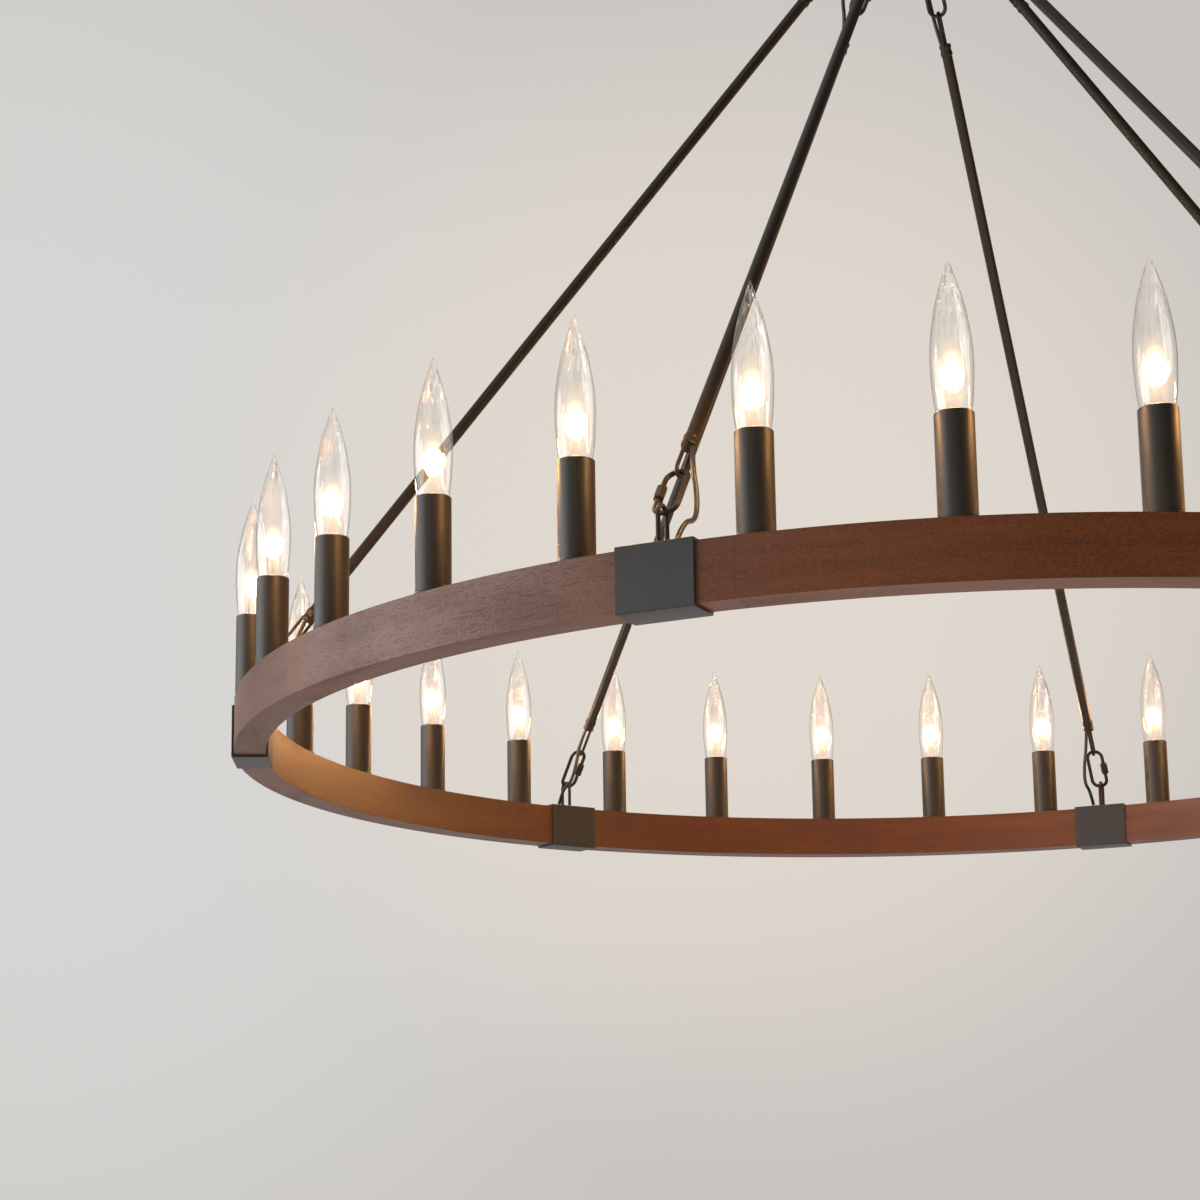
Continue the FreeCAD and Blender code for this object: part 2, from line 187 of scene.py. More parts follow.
# Distances along the line of pull from the centre of the lower loop's bend
link_half_width = link_width / 2 - link_wire
link_low = loop_bend - loop_wire - link_wire - seat_gap
link_high = link_low + link_length - 2 * link_wire
link_middle = (link_low + link_high) / 2
eye_half_width = eye_width / 2 - eye_wire
eye_low = link_high - link_wire - eye_wire - seat_gap
cap_low = eye_low + eye_length
cap_high = cap_low + cap_length

hub_underside = high_bend.z + loop_rise
hub_top = hub_underside + hub_plate_thickness + hub_depth

unmoved = Matrix.Identity(4)
to_ring = Matrix.Translation((0, 0, ring_top))
middle_of_pull = (low_bend + high_bend) / 2
half_turn = Matrix.Rotation(pi, 4, tangent)
end_for_end = Matrix.Translation(middle_of_pull) @ half_turn @ Matrix.Translation(-middle_of_pull)


def turned(degrees):
    """Matrix that takes a part from the arm along +X to its place round the ring."""
    return to_ring @ Matrix.Rotation(radians(degrees), 4, "Z")


def on_candle_circle(degrees):
    return turned(degrees) @ Matrix.Translation((candle_circle, 0, 0))


def on_pull(distance, sideways=0.0):
    return low_bend + pull * distance + tangent * sideways


def stood_on(point, direction):
    """Matrix that stands a part made on the Z axis at a point, along a direction."""
    return Matrix.Translation(point) @ up.rotation_difference(direction).to_matrix().to_4x4()


arms = [turned(360 * i / arm_count) for i in range(arm_count)]
both_ends = arms + [arm @ end_for_end for arm in arms]
candles = [on_candle_circle(360 * (i + 0.5) / candle_count) for i in range(candle_count)]


# ---------------------------------------------------------------- mesh helpers
def circle(sides):
    return [(cos(2 * pi * i / sides), sin(2 * pi * i / sides)) for i in range(sides)]


def skin(bm, rings, closed):
    """Joins each ring of vertices to the next. A ring of one vertex is a pole."""
    sides = max(len(ring) for ring in rings)
    pairs = list(zip(rings, rings[1:]))
    if closed:
        pairs.append((rings[-1], rings[0]))
    for low, high in pairs:
        for i in range(sides):
            j = i + 1
            corners = [low[i % len(low)], low[j % len(low)], high[j % len(high)], high[i % len(high)]]
            corners = list(dict.fromkeys(corners))
            if len(corners) > 2:
                bm.faces.new(corners)


def lathe(bm, profile, place, sides, closed=False):
    """Turns (radius, height) pairs about the Z axis. A radius of 0 is a pole."""
    rings = []
    for radius, height in profile:
        ring = circle(sides) if radius else [(0, 0)]
        rings.append([bm.verts.new(place @ Vector((radius * c, radius * s, height))) for c, s in ring])
    skin(bm, rings, closed)


def tube(bm, points, radius, normal, place, sides, closed=False):
    """Round bar along a flat path. The normal is square to the plane of the path."""
    last = len(points) - 1
    rings = []
    for i, point in enumerate(points):
        before = points[i - 1] if closed or i > 0 else point
        after = points[(i + 1) % len(points)] if closed or i < last else point
        side = normal.cross((after - before).normalized()).normalized()
        rings.append([
            bm.verts.new(place @ (point + side * (radius * c) + normal * (radius * s)))
            for c, s in circle(sides)])
    skin(bm, rings, closed)
    if not closed:
        bm.faces.new(rings[0])
        bm.faces.new(rings[-1])


def arc(centre, side, top, radius, first, last, steps=16):
    """Points from one angle to another, in degrees from the side direction towards the top."""
    angles = [radians(first + (last - first) * i / steps) for i in range(steps + 1)]
    return [centre + side * (radius * cos(a)) + top * (radius * sin(a)) for a in angles]


def sized(outline, radius, height, foot=0.0):
    """Profile from an outline in shares of a radius and a height."""
    return [(radius * r, foot + height * h) for r, h in outline]


def rounded(profile, radius, steps=3):
    """Rounds the corners of a (radius, height) profile, apart from its two ends."""
    largest_share_of_side = 0.45
    out = [profile[0]]
    for before, corner, after in zip(profile, profile[1:], profile[2:]):
        p = Vector(corner)
        back = Vector(before) - p
        forth = Vector(after) - p
        reach = min(radius, largest_share_of_side * min(back.length, forth.length))
        start = p + back.normalized() * reach
        end = p + forth.normalized() * reach
        for i in range(steps + 1):
            t = i / steps
            blend = start * (1 - t) ** 2 + p * (2 * t * (1 - t)) + end * t ** 2
            out.append((blend.x, blend.y))
    out.append(profile[-1])
    return out


def linked(name, data):
    obj = bpy.data.objects.new(name, data)
    bpy.context.collection.objects.link(obj)
    return obj


def piece(name, bm, material, body=BODY, replaces=(), sharp=35):
    """Makes a named piece from mesh data, smooth but for edges sharper than some degrees."""
    bmesh.ops.recalc_face_normals(bm, faces=bm.faces)
    for face in bm.faces:
        face.smooth = True
    for edge in bm.edges:
        if len(edge.link_faces) == 2 and edge.calc_face_angle(0) > radians(sharp):
            edge.smooth = False
    mesh = bpy.data.meshes.new(name)
    bm.to_mesh(mesh)
    bm.free()
    obj = linked(name, mesh)
    mesh.materials.append(material)
    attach(obj, body)
    if replaces:
        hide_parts(*replaces)
    return obj


# ---------------------------------------------------------------- material helpers
class Nodes:
    """Short calls for building the node tree of a material or a world."""

    def __init__(self, owner, output="OutputMaterial"):
        self.owner = owner
        owner.use_nodes = True
        self.tree = owner.node_tree
        self.tree.nodes.clear()
        self.output = self.add(output)

    def add(self, kind, *in_order, **named):
        """Adds a node. Named values are its inputs, or its settings after an underscore."""
        node = self.tree.nodes.new("ShaderNode" + kind)
        for key, value in named.items():
            if key.startswith("_"):
                setattr(node, key[1:], value)
        for socket, value in zip(node.inputs, in_order):
            self.feed(socket, value)
        for key, value in named.items():
            if not key.startswith("_"):
                self.feed(node.inputs[key.replace("_", " ")], value)
        return node

    def feed(self, socket, value):
        """Links an input to another node's output, or sets its own value."""
        if isinstance(value, bpy.types.NodeSocket):
            self.tree.links.new(value, socket)
        elif socket.type == "RGBA":
            socket.default_value = (*value, 1)
        else:
            socket.default_value = value

    def math(self, operation, a, b=0.0):
        return self.add("Math", a, b, _operation=operation).outputs[0]

    def plus(self, a, b):
        return self.math("ADD", a, b)

    def minus(self, a, b):
        return self.math("SUBTRACT", a, b)

    def times(self, a, b):
        return self.math("MULTIPLY", a, b)

    def between(self, low, high, fac):
        return self.plus(low, self.times(fac, high - low))

    def mix(self, fac, a, b, mode="MIX"):
        node = self.add("Mix", _data_type="RGBA", _blend_type=mode)
        colour_a, colour_b = [s for s in node.inputs if s.type == "RGBA"]
        for socket, value in ((node.inputs[0], fac), (colour_a, a), (colour_b, b)):
            self.feed(socket, value)
        return next(s for s in node.outputs if s.type == "RGBA")

    def ramp(self, fac, stops):
        node = self.add("ValToRGB", fac)
        elements = node.color_ramp.elements
        while len(elements) < len(stops):
            elements.new(0.5)
        for element, (position, colour) in zip(elements, stops):
            element.position = position
            element.color = (*colour, 1)
        return node.outputs[0]

    def mask(self, fac, start, end):
        """0 up to the start and 1 from the end on."""
        return self.ramp(fac, [(start, (0, 0, 0)), (end, (1, 1, 1))])

    def smooth_step(self, value, start, end):
        step = self.add(
            "MapRange", Value=value, From_Min=start, From_Max=end, _interpolation_type="SMOOTHSTEP")
        return step.outputs["Result"]

    def place(self):
        return self.add("TexCoord").outputs["Object"]

    def round_the_ring(self):
        """Angle in radians about the ring's axis, distance from it, and height."""
        x, y, z = self.add("SeparateXYZ", self.place()).outputs
        distance = self.math("SQRT", self.plus(self.times(x, x), self.times(y, y)))
        return self.math("ARCTAN2", y, x), distance, z

    def noise(self, vector, scale, detail=3.0, roughness=0.5):
        node = self.add("TexNoise", Vector=vector, Scale=scale, Detail=detail, Roughness=roughness)
        return node.outputs["Fac"]

    def stretch(self, vector, scale):
        return self.add("Mapping", Vector=vector, Scale=scale).outputs[0]

    def bump(self, height, strength, distance):
        return self.add("Bump", Height=height, Strength=strength, Distance=distance).outputs[0]

    def background_rays(self):
        """1 for the rays that see the background, and 0 for those that light the object."""
        path = self.add("LightPath").outputs
        seen = self.math("MAXIMUM", path["Is Camera Ray"], path["Is Glossy Ray"])
        return self.math("MAXIMUM", seen, path["Is Transmission Ray"])

    def finish(self, shader, socket="Surface"):
        self.tree.links.new(shader.outputs[0], self.output.inputs[socket])
        return self.owner


def new_material(name):
    return Nodes(bpy.data.materials.new(name))


def toned(colour, factor, lift=0.0):
    return tuple(c * factor + lift for c in colour)


# ---------------------------------------------------------------- materials
def coated_metal(name, colour, roughness, specular=0.36):
    """Powder coat: fine orange peel, small changes of tone and gloss, and faint rub marks."""
    n = new_material(name)
    place = n.place()
    cloud = n.noise(place, 14.0, detail=4.0)
    orange_peel = n.noise(place, 900.0, detail=2.0)
    rub = n.mask(n.noise(place, 55.0, detail=6.0, roughness=0.7), 0.58, 0.78)
    tone = n.mix(cloud, toned(colour, 0.78), toned(colour, 1.25))
    tone = n.mix(n.times(rub, 0.18), tone, toned(colour, 2.2, lift=0.01))
    gloss = n.between(roughness - 0.07, roughness + 0.07, cloud)
    normal = n.bump(orange_peel, strength=0.18, distance=0.0002)
    return n.finish(n.add(
        "BsdfPrincipled", Base_Color=tone, Roughness=gloss, Normal=normal, Metallic=0.0,
        Specular_IOR_Level=specular))


def bare_metal(name, colour, roughness):
    """Plated or drawn metal, with fine marks round its Z axis."""
    n = new_material(name)
    place = n.place()
    cloud = n.noise(place, 40.0, detail=4.0)
    brushed = n.noise(n.stretch(place, (1.0, 1.0, 30.0)), 180.0)
    tone = n.mix(cloud, toned(colour, 0.8), colour)
    gloss = n.between(roughness - 0.1, roughness + 0.1, brushed)
    normal = n.bump(brushed, strength=0.1, distance=0.0001)
    return n.finish(n.add(
        "BsdfPrincipled", Base_Color=tone, Roughness=gloss, Normal=normal, Metallic=1.0))


def moulded(name, colour, roughness):
    """Rubber, wire insulation or moulded plastic."""
    n = new_material(name)
    place = n.place()
    cloud = n.noise(place, 60.0, detail=4.0)
    tone = n.mix(cloud, toned(colour, 0.7), toned(colour, 1.3))
    gloss = n.between(roughness - 0.08, roughness + 0.08, cloud)
    normal = n.bump(n.noise(place, 700.0), strength=0.1, distance=0.0002)
    return n.finish(n.add("BsdfPrincipled", Base_Color=tone, Roughness=gloss, Normal=normal))


def stained_wood():
    """Grain that runs round the ring, with each timber arc cut from its own board."""
    n = new_material("stained_timber")
    angle, distance, z = n.round_the_ring()
    sweep = 360 / segment_count
    degrees = n.plus(n.times(angle, 180 / pi), 360.0 - first_seam_degrees)
    turn = n.math("DIVIDE", degrees, sweep)
    board = n.add("TexWhiteNoise", _noise_dimensions="1D", W=n.math("FLOOR", turn))
    unrolled = n.add("CombineXYZ", n.times(angle, ring_outer_radius), distance, z)
    shift = n.add("VectorMath", board.outputs["Color"], Scale=7.0, _operation="SCALE")
    place = n.add("VectorMath", unrolled.outputs[0], shift.outputs[0], _operation="ADD").outputs[0]

    def grain(along, thickness, scale=1.0, detail=3.0, roughness=0.5):
        return n.noise(n.stretch(place, (along, thickness, thickness)), scale, detail, roughness)

    bands = grain(2.2, 26.0, 2.4, 5.0, 0.62)
    fibres = grain(9.0, 420.0, 1.6, 4.0, 0.6)
    blotch = grain(5.0, 9.0, 1.7)
    speckle = n.mask(grain(540.0, 660.0, roughness=0.7), 0.40, 0.64)
    dark_flecks = n.mask(grain(230.0, 520.0, detail=4.0, roughness=0.75), 0.52, 0.66)
    stain = n.mask(grain(7.0, 20.0), 0.50, 0.72)
    pores = n.mask(grain(60.0, 900.0, detail=2.0), 0.62, 0.70)
    colour = n.ramp(bands, [
        (0.30, (0.066, 0.013, 0.003)), (0.52, (0.108, 0.0245, 0.004)), (0.75, (0.150, 0.039, 0.007))])
    for layer, strength, tone in (
            (fibres, 0.35, (0.045, 0.009, 0.003)),
            (blotch, 0.22, (0.165, 0.047, 0.009)),
            (speckle, 0.36, (0.200, 0.060, 0.012)),
            (dark_flecks, 0.40, (0.040, 0.011, 0.003)),
            (stain, 0.35, (0.055, 0.026, 0.017)),
            (pores, 0.50, (0.030, 0.009, 0.004))):
        colour = n.mix(n.times(layer, strength), colour, tone)
    board_tone = n.between(0.86, 1.16, board.outputs["Value"])
    colour = n.mix(1.0, colour, board_tone, mode="MULTIPLY")

    part = n.math("FRACT", turn)
    from_seam = n.times(n.math("MINIMUM", part, n.minus(1.0, part)), radians(sweep) * ring_outer_radius)
    seam = n.math("LESS_THAN", from_seam, seam_half_width)
    colour = n.mix(n.times(seam, 0.45), colour, (0.030, 0.010, 0.005))
    gloss = n.plus(n.plus(0.33, n.times(speckle, 0.16)), n.times(stain, 0.14))
    depth = n.minus(n.minus(n.times(speckle, 0.5), n.times(pores, 0.8)), n.times(seam, 2.0))
    normal = n.bump(depth, strength=0.50, distance=0.0003)
    return n.finish(n.add(
        "BsdfPrincipled", Base_Color=colour, Roughness=gloss, Normal=normal, Specular_IOR_Level=0.38))


def lamp_glass():
    """Thin blown glass: clear face on, with a darker and glossier edge where the eye looks
    along the wall, and with fine drawn lines towards the tip."""
    n = new_material("lamp_glass")
    place = n.place()
    ripple = n.noise(n.stretch(place, (1.0, 1.0, 0.22)), 150.0, detail=2.0)
    lines = n.mask(n.noise(n.stretch(place, (1.0, 1.0, 0.10)), 330.0, roughness=0.6), 0.50, 0.60)
    z = n.add("SeparateXYZ", place).outputs[2]
    share_of_height = n.math("DIVIDE", n.minus(z, ring_top + bulb_foot), bulb_height)
    towards_tip = n.math("MAXIMUM", n.times(n.minus(share_of_height, 0.45), 2.2), 0.0)
    drawn = n.times(lines, n.math("MINIMUM", towards_tip, 1.0))
    normal = n.bump(n.plus(ripple, n.times(drawn, 2.0)), strength=0.40, distance=0.001)
    facing = n.add("LayerWeight", Blend=0.5, Normal=normal).outputs["Facing"]
    rim = n.math("MINIMUM", n.plus(n.math("POWER", facing, 4.0), n.times(drawn, 0.14)), 1.0)
    tint = n.mix(rim, (0.99, 0.985, 0.975), (0.50, 0.46, 0.41))
    clear = n.add("BsdfTransparent", Color=tint)
    gloss = n.add("BsdfGlossy", Color=(1.0, 0.98, 0.95), Roughness=0.06, Normal=normal)
    glossy_share = n.plus(n.plus(0.06, n.times(drawn, 0.22)), n.times(rim, 0.50))
    return n.finish(n.add("MixShader", glossy_share, clear.outputs[0], gloss.outputs[0]))


def inner_glass():
    n = new_material("lamp_stem_glass")
    tone = n.mix(n.noise(n.place(), 300.0), (0.16, 0.11, 0.06), (0.30, 0.22, 0.12))
    return n.finish(n.add("BsdfPrincipled", Base_Color=tone, Roughness=0.12, Alpha=0.10))


def glowing(name, colour, strength):
    n = new_material(name)
    level = n.between(0.85 * strength, 1.15 * strength, n.noise(n.place(), 900.0))
    return n.finish(n.add("Emission", Color=colour, Strength=level))


def halo(name, colour, density, radius, middle, half_height):
    """Soft light round a filament: a thin glowing volume that fades from the middle of each lamp."""
    n = new_material(name)
    angle, distance, z = n.round_the_ring()
    turn = n.times(n.plus(angle, 2 * pi), candle_count / (2 * pi))
    pitch = 2 * pi * candle_circle / candle_count
    round_ring = n.times(n.minus(n.math("FRACT", turn), 0.5), pitch / radius)
    outward = n.math("DIVIDE", n.minus(distance, candle_circle), radius)
    upward = n.math("DIVIDE", n.minus(z, ring_top + middle), half_height)
    squares = [n.times(offset, offset) for offset in (outward, round_ring, upward)]
    from_middle = n.math("SQRT", n.plus(n.plus(squares[0], squares[1]), squares[2]))
    fade = n.math("POWER", n.math("MAXIMUM", n.minus(1.0, from_middle), 0.0), 2.0)
    return n.finish(n.add("Emission", Color=colour, Strength=n.times(fade, density)), "Volume")


wood = stained_wood()
black_coat = (0.024, 0.023, 0.021)
black = coated_metal("satin_black", black_coat, 0.42)
black_housing = coated_metal("satin_black_housing", black_coat, 0.45)
rod_black = coated_metal("satin_black_rod", (0.015, 0.011, 0.007), 0.42, specular=0.24)
sleeve_black = coated_metal("satin_black_sleeve", (0.022, 0.017, 0.012), 0.46)
zinc = bare_metal("zinc_plate", (0.62, 0.60, 0.56), 0.38)
brass = bare_metal("brass_shell", (0.72, 0.52, 0.24), 0.35)
support_wire = bare_metal("support_wire", (0.75, 0.70, 0.62), 0.3)
insulation = moulded("black_insulation", (0.020, 0.019, 0.018), 0.42)
grommet_rubber = moulded("grommet_rubber", (0.024, 0.023, 0.022), 0.6)
phenolic = moulded("black_phenolic", (0.030, 0.027, 0.025), 0.5)
glass = lamp_glass()
stem_glass = inner_glass()
hot_wire = glowing("filament_glow", (1.0, 0.62, 0.28), 260.0)
glow_core = halo(
    "glow_core", (1.0, 0.72, 0.34), 230.0, radius=0.0098, middle=glow_height, half_height=0.0112)
glow_wide = halo(
    "glow_wide", (1.0, 0.58, 0.22), 62.0, radius=0.0190, middle=glow_height - 0.012, half_height=0.046)


# ---------------------------------------------------------------- CAD nodes that stay in view
def repaint(material, *nodes):
    for node in nodes:
        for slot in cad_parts[node].material_slots:
            slot.material = material


def repaint_nodes():
    repaint(wood, *("ring_segment_%d" % (i + 1) for i in range(segment_count)))
    repaint(zinc, "crossbar", "stem", "stem_nut", "hub_stem")
    repaint(phenolic, "lamp_sockets")
    repaint(brass, "bulb_bases")
    repaint(black_housing, "hub_plate")


# ---------------------------------------------------------------- clamps and screws
def rounded_box(x0, x1, z0, z1, radius, steps=5):
    """(x, z) points round a box with rounded corners."""
    points = []
    for centre_x, centre_z, first in (
            (x1 - radius, z1 - radius, 0), (x0 + radius, z1 - radius, 90),
            (x0 + radius, z0 + radius, 180), (x1 - radius, z0 + radius, 270)):
        for i in range(steps + 1):
            a = radians(first + 90 * i / steps)
            points.append((centre_x + radius * cos(a), centre_z + radius * sin(a)))
    return points


def add_clamps():
    """Square sleeves round the timber, just clear of it, with their ends chamfered."""
    half = clamp_length / 2
    inner_radius = ring_outer_radius - ring_width
    x0 = inner_radius * cos(asin(half / inner_radius)) - clamp_clearance
    x1 = ring_outer_radius + clamp_clearance

    def outer(wall):
        return rounded_box(x0 - wall, x1 + wall, -ring_height - wall, wall, clamp_bend)

    inner = rounded_box(x0, x1, -ring_height, 0, clamp_inner_bend)
    full, end = outer(clamp_wall), outer(clamp_wall - clamp_chamfer)
    sections = [
        (inner, -half), (end, -half), (full, -half + clamp_chamfer),
        (full, half - clamp_chamfer), (end, half), (inner, half)]
    for i, arm in enumerate(arms):
        bm = bmesh.new()
        loops = [[bm.verts.new(arm @ Vector((x, y, z))) for x, z in points] for points, y in sections]
        skin(bm, loops, closed=True)
        node = "ring_clamp_%d" % (i + 1)
        piece("clamp_sleeve_%d" % (i + 1), bm, black, replaces=[node])


def add_screws():
    bm = bmesh.new()
    profile = sized(screw_outline, screw_radius, screw_height)
    for arm in arms:
        for side in (-1, 1):
            foot = Vector((candle_circle, side * screw_spacing / 2, clamp_wall))
            lathe(bm, profile, arm @ Matrix.Translation(foot), sides=20)
    piece("clamp_screw_heads", bm, black, replaces=["clamp_screws"])


def strip_screw_degrees():
    """Small screws along the top of the ring: midway between candles, and beside each clamp."""
    out = []
    for i in range(candle_count):
        between = i * 360 / candle_count
        if between % (360 / arm_count) == 0:
            out += [between - clamp_to_strip_screw_degrees, between + clamp_to_strip_screw_degrees]
        else:
            out.append(between)
    return out


def add_strip_screws():
    bm = bmesh.new()
    profile = sized(screw_outline, strip_screw_radius, strip_screw_height)
    for degrees in strip_screw_degrees():
        lathe(bm, profile, on_candle_circle(degrees), sides=14)
    piece("ring_top_screws", bm, black)


# ---------------------------------------------------------------- suspension
def add_loops():
    bm = bmesh.new()
    foot_left = Vector((low_bend.x - loop_bend, 0, clamp_wall))
    foot_right = Vector((low_bend.x + loop_bend, 0, clamp_wall))
    path = [foot_left] + arc(low_bend, right, up, loop_bend, 180, 0) + [foot_right]
    for place in both_ends:
        tube(bm, path, loop_wire, tangent, place, sides=14)
    piece("suspension_loops", bm, rod_black, replaces=["ring_loops", "hub_loops"])


def add_grommets():
    bm = bmesh.new()
    profile = rounded(sized(grommet_outline, grommet_radius, grommet_height), grommet_edge)
    foot = Matrix.Translation((candle_circle, grommet_offset, clamp_wall))
    for place in both_ends:
        lathe(bm, profile, place @ foot, sides=20)
    piece("wire_grommets", bm, grommet_rubber, replaces=["ring_grommets", "hub_grommets"])


def add_quick_links():
    """Oval links of round wire. Their two ends meet inside the nut."""
    bm = bmesh.new()
    straight = (link_high - link_low) / 2 - link_half_width
    half_gap = link_nut_length / 2 * link_gap_share_of_nut
    path = [on_pull(link_middle + half_gap, -link_half_width)]
    path += arc(on_pull(link_middle + straight), tangent, pull, link_half_width, 180, 0)
    path += arc(on_pull(link_middle - straight), tangent, pull, link_half_width, 0, -180)
    path.append(on_pull(link_middle - half_gap, -link_half_width))
    for place in both_ends:
        tube(bm, path, link_wire, across, place, sides=14)
    piece("oval_links", bm, rod_black, replaces=["ring_quick_links", "hub_quick_links"])


def add_link_nuts():
    """Hexagonal nuts with their corners turned down at both ends."""
    bm = bmesh.new()
    foot = stood_on(on_pull(link_middle - link_nut_length / 2, -link_half_width), pull)
    flats_forward = Matrix.Rotation(pi / 6, 4, "Z")
    outline = [(0, 0), (0.93 * cos(pi / 6), 0), (1, 0.07), (1, 0.93), (0.93 * cos(pi / 6), 1), (0, 1)]
    profile = sized(outline, link_nut_flats / 2 / cos(pi / 6), link_nut_length)
    for place in both_ends:
        lathe(bm, profile, place @ foot @ flats_forward, sides=6)
    piece("oval_link_nuts", bm, rod_black, replaces=["ring_link_nuts", "hub_link_nuts"],
          sharp=20)


def add_rod_eyes():
    """The long eye of a rod's end, and the turned cap that it comes out of."""
    bm = bmesh.new()
    leg_end = on_pull(cap_low + cap_length * eye_leg_share_of_cap)
    path = [leg_end + across * eye_half_width]
    path += arc(on_pull(eye_low + eye_half_width), across, pull, eye_half_width, 0, -180)
    path.append(leg_end - across * eye_half_width)
    profile = rounded(sized(cap_outline, cap_radius, cap_length), cap_edge)
    foot = stood_on(on_pull(cap_low), pull)
    for place in both_ends:
        tube(bm, path, eye_wire, tangent, place, sides=12)
        lathe(bm, profile, place @ foot, sides=28)
    piece("rod_end_caps", bm, rod_black, replaces=["ring_rod_eyes", "hub_rod_eyes"])


def add_rods():
    foot = stood_on(on_pull(cap_high), pull)
    profile = sized([(0, 0), (1, 0), (1, 1), (0, 1)], rod_radius, pull_length - 2 * cap_high)
    for i, arm in enumerate(arms):
        bm = bmesh.new()
        lathe(bm, profile, arm @ foot, sides=36)
        piece("round_rod_%d" % (i + 1), bm, rod_black, replaces=["rod_%d" % (i + 1)])


def stood_off(end, neighbour, face_normal):
    """Draws the end of a wire back along its run, until its square end just clears a face."""
    run = (end - neighbour).normalized()
    return end - run * (wire_radius * tan(run.angle(-face_normal)) + wire_clearance)


def add_lamp_wires():
    middle = [
        Vector((candle_circle - inward, round_ring, above)) for inward, round_ring, above in wire_route]
    leave = stood_off(on_pull(cap_low, wire_exit_offset), middle[0], -pull)
    top_of_grommet = Vector((candle_circle, grommet_offset, clamp_wall + grommet_height))
    enter = stood_off(top_of_grommet, middle[-1], up)
    route = [leave] + middle + [enter]
    for i, place in enumerate(both_ends):
        curve = bpy.data.curves.new("lamp_wire_%d" % (i + 1), "CURVE")
        curve.dimensions = "3D"
        curve.bevel_depth = wire_radius
        curve.bevel_resolution = 4
        curve.use_fill_caps = True
        curve.resolution_u = 12
        spline = curve.splines.new("NURBS")
        spline.points.add(len(route) - 1)
        for point, at in zip(spline.points, route):
            point.co = (*(place @ at), 1)
        spline.order_u = 3
        spline.use_endpoint_u = True
        wire = linked(curve.name, curve)
        curve.materials.append(insulation)
        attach(wire, BODY)
        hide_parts("lamp_wires")


# ---------------------------------------------------------------- candles
def add_sleeves():
    """Candle tubes with a broken edge at the top, each in a foot ring."""
    bm = bmesh.new()
    r, h, lip = sleeve_radius, sleeve_height, sleeve_lip
    bore = r - sleeve_wall
    walls = [(r, 0), (r, h - lip), (r - lip, h), (bore + lip, h), (bore, h - lip), (bore, 0)]
    f, t = foot_ring_radius, foot_ring_height
    foot = [(r * 0.9, 0), (f, 0), (f, t * 0.6), (f - t * 0.4, t), (r * 0.9, t)]
    for place in candles:
        lathe(bm, walls, place, sides=40, closed=True)
        lathe(bm, foot, place, sides=40, closed=True)
    piece("candle_tubes", bm, sleeve_black, replaces=["candle_sleeves"])


def bulb_radius_at(share):
    """Radius of the lamp's glass at a share of its height."""
    for (low, low_radius), (high, high_radius) in zip(bulb_outline, bulb_outline[1:]):
        if share <= high:
            part = (share - low) / (high - low)
            return bulb_radius * (low_radius + (high_radius - low_radius) * part)


def bulb_profile(steps):
    shares = [i / steps for i in range(steps + 1)]
    walls = [(bulb_radius_at(share), bulb_foot + share * bulb_height) for share in shares]
    return [(0, bulb_foot)] + walls + [(0, bulb_foot + bulb_height + bulb_tip_rise)]


def add_bulbs():
    bm = bmesh.new()
    profile = rounded(bulb_profile(30), radius=0.01, steps=2)
    for place in candles:
        lathe(bm, profile, place, sides=32)
    piece("bulb_envelopes", bm, glass, replaces=["bulbs"], sharp=80)


def add_bulb_insides():
    """Glass stem, lead wires and filament of each lamp, turned differently in each."""
    stems, leads, filaments = bmesh.new(), bmesh.new(), bmesh.new()
    stem = [
        (0.0052, stem_neck), (0.0040, stem_neck + 0.010), (0.0022, stem_neck + 0.016),
        (0.0020, stem_top), (0, stem_top + 0.001)]
    coil = []
    coil_steps = 24
    for i in range(coil_steps + 1):
        t = i / coil_steps
        x = filament_half_span * (2 * t - 1)
        coil.append(Vector((x, 0, filament_foot + filament_rise * sin(pi * t) ** 0.7)))
    for i, place in enumerate(candles):
        spin = place @ Matrix.Rotation(i * lamp_to_lamp_radians, 4, "Z")
        lathe(stems, stem, spin, sides=14)
        for side in (-1, 1):
            lead = [Vector((side * 0.0009, 0, stem_top - 0.006)),
                    Vector((side * 0.0024, 0, stem_top + 0.006)),
                    Vector((side * filament_half_span, 0, filament_foot))]
            tube(leads, lead, lead_radius, tangent, spin, sides=6)
        tube(filaments, coil, filament_radius, tangent, spin, sides=8)
    piece("lamp_stems", stems, stem_glass, sharp=80)
    piece("lamp_lead_wires", leads, support_wire)
    unlit(piece("lamp_filaments", filaments, hot_wire))


def ball(radius, half_height, steps=12):
    """Profile of an upright ellipsoid, from pole to pole."""
    angles = [pi * i / steps - pi / 2 for i in range(1, steps)]
    sides = [(radius * cos(a), half_height * sin(a)) for a in angles]
    return [(0, -half_height)] + sides + [(0, half_height)]


def add_glows():
    """The glare round each filament: a bright core, and a wide halo that fills the glass."""
    core, wide = bmesh.new(), bmesh.new()
    inside_glass = [(max(radius - bulb_wall, 0), z) for radius, z in bulb_profile(24)]
    core_profile = ball(glow_core_radius, glow_core_half_height)
    for place in candles:
        lathe(core, core_profile, place @ Matrix.Translation((0, 0, glow_height)), sides=24)
        lathe(wide, inside_glass, place, sides=24)
    unlit(piece("lamp_glow_core", core, glow_core, sharp=80))
    unlit(piece("lamp_glow_halo", wide, glow_wide, sharp=80))


def unlit(glow):
    """Keeps a glowing piece from lighting its surroundings, which the lamp lights do."""
    glow.visible_glossy = False
    glow.visible_diffuse = False


